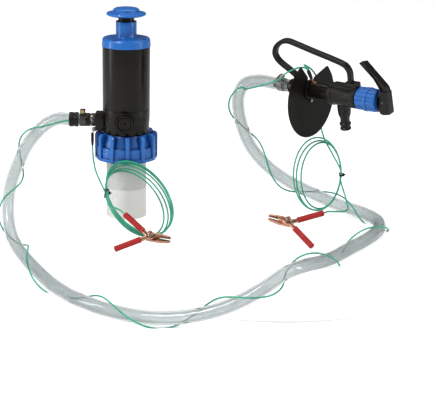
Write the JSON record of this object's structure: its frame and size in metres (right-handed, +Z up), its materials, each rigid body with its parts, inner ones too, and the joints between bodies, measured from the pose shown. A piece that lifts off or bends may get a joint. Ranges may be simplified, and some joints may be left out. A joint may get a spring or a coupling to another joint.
{
  "type": "hand drum pump",
  "caption": "Hand-operated drum pump: plunger head on a threaded adapter, clear delivery hose with a lever tap, and bonding leads with clips.",
  "frame": {"origin": "centre of the drum thread's top end on the pump axis, level with the drum lid", "axes": "+Z up along the pump axis, +X from the pump towards the tap, +Y away from the front of the pump"},
  "size_m": [0.5925, 0.4182, 0.3837],
  "materials": {
    "clear_pipe": "translucent white moulded plastic, satin",
    "rubber": "matt black rubber",
    "blue_plastic": "blue moulded plastic, satin gloss",
    "black_plastic": "black moulded plastic, satin gloss",
    "black_satin": "black filled plastic, satin, with light moulding texture",
    "grey_plastic": "off-white bearing plastic",
    "steel": "bright zinc plated steel",
    "brass": "plain brass",
    "copper": "copper plated spring steel, slightly dulled",
    "hose_vinyl": "clear soft vinyl",
    "green_wire": "green insulated stranded wire",
    "red_sleeve": "ribbed red vinyl sleeve"
  },
  "bodies": {
    "root": {"adapter_pipe": "clear_pipe", "adapter_ring": "rubber", "base": "black_plastic", "barrel": "black_plastic", "air_cylinder": "grey_plastic", "cylinder_ring": "rubber", "top_cap": "blue_plastic", "cap_screws": "steel", "guide_bush": "grey_plastic", "check_valve": "rubber", "relief_cap": "black_plastic", "outlet_block": "black_plastic", "outlet_tail": "steel", "outlet_sleeve": "black_plastic", "outlet_clamp": "steel", "clamp_screws": "brass", "ground_lug": "steel", "hose": "hose_vinyl", "hose_ends": "hose_vinyl", "hose_wire": "green_wire", "tap_clamp": "steel", "tap_tube": "black_plastic", "splash_guard": "black_satin", "guard_screws": "steel", "tap_lug": "copper", "valve_body": "black_plastic", "valve_seat": "rubber", "hand_loop": "black_satin", "loop_screws": "steel", "bonnet_nut": "blue_plastic", "stem_bush": "grey_plastic", "spout": "black_satin", "lead_1_drop": "green_wire", "lead_1_coil": "green_wire", "lead_1_tail": "green_wire", "lead_2_drop": "green_wire", "lead_2_coil": "green_wire", "lead_2_tail": "green_wire", "lead_ties": "black_satin", "clip_1_frame": "copper", "clip_2_frame": "copper", "fixed_grips": "red_sleeve", "clip_pins": "steel", "clip_springs": "steel"},
    "union_nut": {"union_nut": "blue_plastic"},
    "plunger": {"plunger_tube": "black_plastic", "piston": "grey_plastic", "piston_seal": "rubber", "piston_bolt": "steel", "knob": "blue_plastic"},
    "relief_poppet": {"relief_poppet": "brass", "relief_spring": "steel"},
    "tap_stem": {"valve_stem": "steel", "stem_spring": "steel", "lever_pin": "steel"},
    "tap_lever": {"tap_lever": "black_satin"},
    "clip_1_jaw": {"clip_1_jaw": "copper", "clip_1_grip": "red_sleeve"},
    "clip_2_jaw": {"clip_2_jaw": "copper", "clip_2_grip": "red_sleeve"}
  },
  "joints": [
    {"name": "union_nut_turn", "type": "hinge", "parent": "root", "child": "union_nut", "pos_m": [0, 0, 0.11], "axis": [0, 0, 1], "continuous": true},
    {"name": "plunger_slide", "type": "slide", "parent": "root", "child": "plunger", "axis": [0, 0, 1], "range_m": [0, 0.072]},
    {"name": "relief_slide", "type": "slide", "parent": "root", "child": "relief_poppet", "axis": [0, -1, 0], "range_m": [0, 0.003], "stiffness_N_per_m": 800},
    {"name": "stem_slide", "type": "slide", "parent": "root", "child": "tap_stem", "axis": [0.788, -0.6157, 0], "range_m": [0, 0.006]},
    {"name": "lever_turn", "type": "hinge", "parent": "tap_stem", "child": "tap_lever", "pos_m": [0.3808, -0.10325, 0.208], "axis": [0.6022, 0.7708, 0.2079], "range_deg": [0, 40], "stiffness_Nm_per_rad": 1.5},
    {"name": "clip_1_open", "type": "hinge", "parent": "root", "child": "clip_1_jaw", "pos_m": [0.046, -0.178, 0.02], "axis": [0, -0.6157, 0.788], "range_deg": [0, 38], "stiffness_Nm_per_rad": 0.4},
    {"name": "clip_2_open", "type": "hinge", "parent": "root", "child": "clip_2_jaw", "pos_m": [0.245, -0.147, 0.036], "axis": [0, 0.6157, -0.788], "range_deg": [0, 38], "stiffness_Nm_per_rad": 0.4}
  ],
  "couplings": [
    {"joint": "lever_turn", "follows": "stem_slide", "rad_per_m": 116.36}
  ]
}
